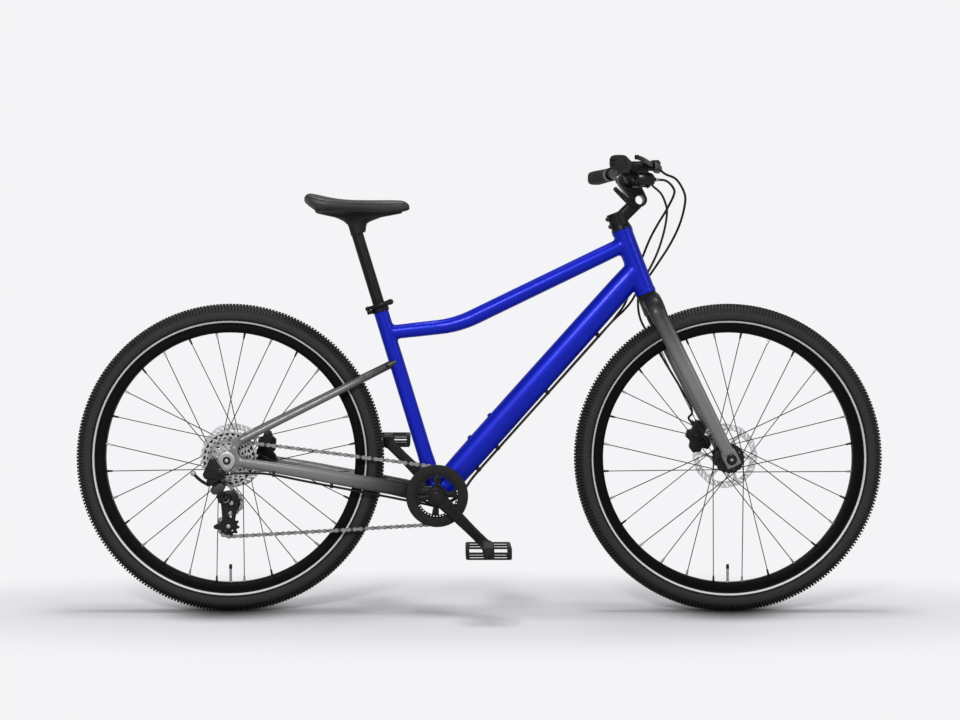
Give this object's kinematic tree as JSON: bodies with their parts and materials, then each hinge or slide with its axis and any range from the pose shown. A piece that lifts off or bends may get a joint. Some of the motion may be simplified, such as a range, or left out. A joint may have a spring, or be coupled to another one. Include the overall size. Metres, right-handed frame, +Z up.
{
  "type": "kids mountain bike",
  "caption": "Kids mountain bike with a low bent top tube, rigid fork, disc brakes, rear derailleur and a hinged stem.",
  "frame": {"origin": "on the ground, midway between the wheel axles, in the middle plane of the frame", "axes": "+X forward, +Y to the rider's left, +Z up; the drive side faces -Y"},
  "size_m": [1.727, 0.581, 0.9624],
  "materials": {
    "blue_paint": "gloss royal blue",
    "grey_paint": "satin dark grey",
    "black_metal": "satin black",
    "rim_black": "matt black",
    "bare_alloy": "blasted",
    "plated_steel": "plated",
    "dark_plastic": "fine grain",
    "grip_rubber": "ribbed",
    "tyre_rubber": "knobbed tread, dark grey sidewall",
    "saddle_skin": "synthetic leather over foam",
    "cord_cover": "smooth"
  },
  "bodies": {
    "frame": {"head_tube": "blue_paint", "top_tube": "blue_paint", "down_tube": "blue_paint", "seat_tube": "blue_paint", "bottom_bracket_shell": "blue_paint", "chainstay_right": "grey_paint", "chainstay_left": "grey_paint", "seatstay_right": "grey_paint", "seatstay_left": "grey_paint", "derailleur_hanger": "bare_alloy", "rear_axle": "black_metal", "rear_brake_caliper": "black_metal", "seat_clamp_collar": "black_metal", "derailleur_b_knuckle": "black_metal", "chain": "plated_steel", "rear_brake_hose": "cord_cover", "shift_cable_housing": "cord_cover"},
    "fork": {"fork_steerer": "grey_paint", "fork_blade_right": "grey_paint", "fork_blade_left": "grey_paint", "front_axle": "black_metal", "stem_base": "black_metal", "front_brake_caliper": "black_metal", "front_brake_hose": "cord_cover"},
    "cockpit": {"stem_arm": "black_metal", "handlebar": "black_metal", "grip_right": "grip_rubber", "grip_left": "grip_rubber", "brake_mount_right": "black_metal", "brake_mount_left": "black_metal", "shifter_body": "dark_plastic", "bell": "dark_plastic"},
    "brake_lever_right": {"brake_lever_right": "black_metal"},
    "brake_lever_left": {"brake_lever_left": "black_metal"},
    "shift_lever": {"shift_lever": "dark_plastic"},
    "bell_striker": {"bell_striker": "bare_alloy"},
    "front_wheel": {"front_hub": "black_metal", "front_rim": "rim_black", "front_tyre": "tyre_rubber", "front_rotor": "plated_steel"},
    "rear_wheel": {"rear_hub": "black_metal", "rear_rim": "rim_black", "rear_tyre": "tyre_rubber", "rear_rotor": "plated_steel"},
    "cassette": {"cassette": "plated_steel"},
    "crank": {"crank_arm_right": "black_metal", "crank_arm_left": "black_metal", "chainring": "black_metal", "chain_guard": "dark_plastic"},
    "pedal_right": {"pedal_right": "dark_plastic"},
    "pedal_left": {"pedal_left": "dark_plastic"},
    "derailleur_link": {"derailleur_link": "grey_paint"},
    "derailleur_p_knuckle": {"derailleur_p_knuckle": "dark_plastic"},
    "derailleur_cage": {"derailleur_cage": "black_metal"},
    "pulley_upper": {"pulley_upper": "dark_plastic"},
    "pulley_lower": {"pulley_lower": "dark_plastic"},
    "seatpost": {"seatpost": "black_metal", "saddle_base": "dark_plastic", "saddle_cover": "saddle_skin"},
    "seat_clamp_lever": {"seat_clamp_lever": "black_metal"}
  },
  "joints": [
    {"name": "steering", "type": "hinge", "parent": "frame", "child": "fork", "pos_m": [0.35805, 0, 0.68204], "axis": [-0.3551, 0, 0.9348], "range_deg": [-60, 60], "deforming": ["rear_brake_hose", "shift_cable_housing", "front_brake_hose"]},
    {"name": "stem_tilt", "type": "hinge", "parent": "fork", "child": "cockpit", "pos_m": [0.34311, 0, 0.88218], "axis": [0, 1, 0], "range_deg": [-15, 45]},
    {"name": "brake_lever_right_pull", "type": "hinge", "parent": "cockpit", "child": "brake_lever_right", "pos_m": [0.35, -0.148, 0.9465], "axis": [0, 0, -1], "range_deg": [0, 5], "stiffness_Nm_per_rad": 1, "springref_deg": -8.59},
    {"name": "brake_lever_left_pull", "type": "hinge", "parent": "cockpit", "child": "brake_lever_left", "pos_m": [0.35, 0.148, 0.9465], "axis": [0, 0, 1], "range_deg": [0, 5], "stiffness_Nm_per_rad": 1, "springref_deg": -8.59},
    {"name": "shift_lever_push", "type": "hinge", "parent": "cockpit", "child": "shift_lever", "pos_m": [0.35, -0.106, 0.908], "axis": [0, 0, -1], "range_deg": [0, 25], "stiffness_Nm_per_rad": 0.3, "springref_deg": -11.46},
    {"name": "bell_striker_flick", "type": "hinge", "parent": "cockpit", "child": "bell_striker", "pos_m": [0.33242, 0.07, 0.9412], "axis": [0, 1, 0], "range_deg": [0, 25], "stiffness_Nm_per_rad": 0.03, "springref_deg": -17.19},
    {"name": "front_wheel_spin", "type": "hinge", "parent": "fork", "child": "front_wheel", "pos_m": [0.5335, 0, 0.33], "axis": [0, 1, 0], "continuous": true},
    {"name": "rear_wheel_spin", "type": "hinge", "parent": "frame", "child": "rear_wheel", "pos_m": [-0.5335, 0, 0.33], "axis": [0, 1, 0], "continuous": true},
    {"name": "crank_spin", "type": "hinge", "parent": "frame", "child": "crank", "pos_m": [-0.09026, 0, 0.2523], "axis": [0, 1, 0], "continuous": true},
    {"name": "cassette_spin", "type": "hinge", "parent": "frame", "child": "cassette", "pos_m": [-0.5335, 0, 0.33], "axis": [0, 1, 0], "continuous": true},
    {"name": "pedal_right_spin", "type": "hinge", "parent": "crank", "child": "pedal_right", "pos_m": [0.01673, -0.13, 0.14716], "axis": [0, 1, 0], "continuous": true},
    {"name": "pedal_left_spin", "type": "hinge", "parent": "crank", "child": "pedal_left", "pos_m": [-0.19725, 0.13, 0.35744], "axis": [0, 1, 0], "continuous": true},
    {"name": "derailleur_shift", "type": "hinge", "parent": "frame", "child": "derailleur_link", "pos_m": [-0.56, -0.066, 0.2895], "axis": [0.8829, 0, 0.4695], "range_deg": [-32, 23.6]},
    {"name": "derailleur_p_pivot", "type": "hinge", "parent": "derailleur_link", "child": "derailleur_p_knuckle", "pos_m": [-0.54315, -0.066, 0.2578], "axis": [0.8829, 0, 0.4695], "range_deg": [-23.7, 32.1]},
    {"name": "derailleur_cage_swing", "type": "hinge", "parent": "derailleur_p_knuckle", "child": "derailleur_cage", "pos_m": [-0.5385, -0.05, 0.248], "axis": [0, 1, 0], "range_deg": [-25, 15], "stiffness_Nm_per_rad": 0.8, "deforming": ["chain"]},
    {"name": "pulley_upper_spin", "type": "hinge", "parent": "derailleur_cage", "child": "pulley_upper", "pos_m": [-0.5266, -0.0433, 0.2374], "axis": [0, 1, 0], "continuous": true},
    {"name": "pulley_lower_spin", "type": "hinge", "parent": "derailleur_cage", "child": "pulley_lower", "pos_m": [-0.53295, -0.0433, 0.1878], "axis": [0, 1, 0], "continuous": true},
    {"name": "seatpost_height", "type": "slide", "parent": "frame", "child": "seatpost", "axis": [-0.294, 0, 0.9558], "range_m": [-0.13, 0.08]},
    {"name": "seat_clamp_lever_open", "type": "hinge", "parent": "frame", "child": "seat_clamp_lever", "pos_m": [-0.23364, -0.014, 0.63506], "axis": [0.294, 0, -0.9558], "range_deg": [0, 110]}
  ],
  "couplings": [
    {"joint": "cassette_spin", "follows": "crank_spin", "ratio": 1.5},
    {"joint": "pulley_upper_spin", "follows": "crank_spin", "ratio": -2.7273},
    {"joint": "pulley_lower_spin", "follows": "crank_spin", "ratio": 2.7273},
    {"joint": "derailleur_p_pivot", "follows": "derailleur_shift", "ratio": -1}
  ]
}
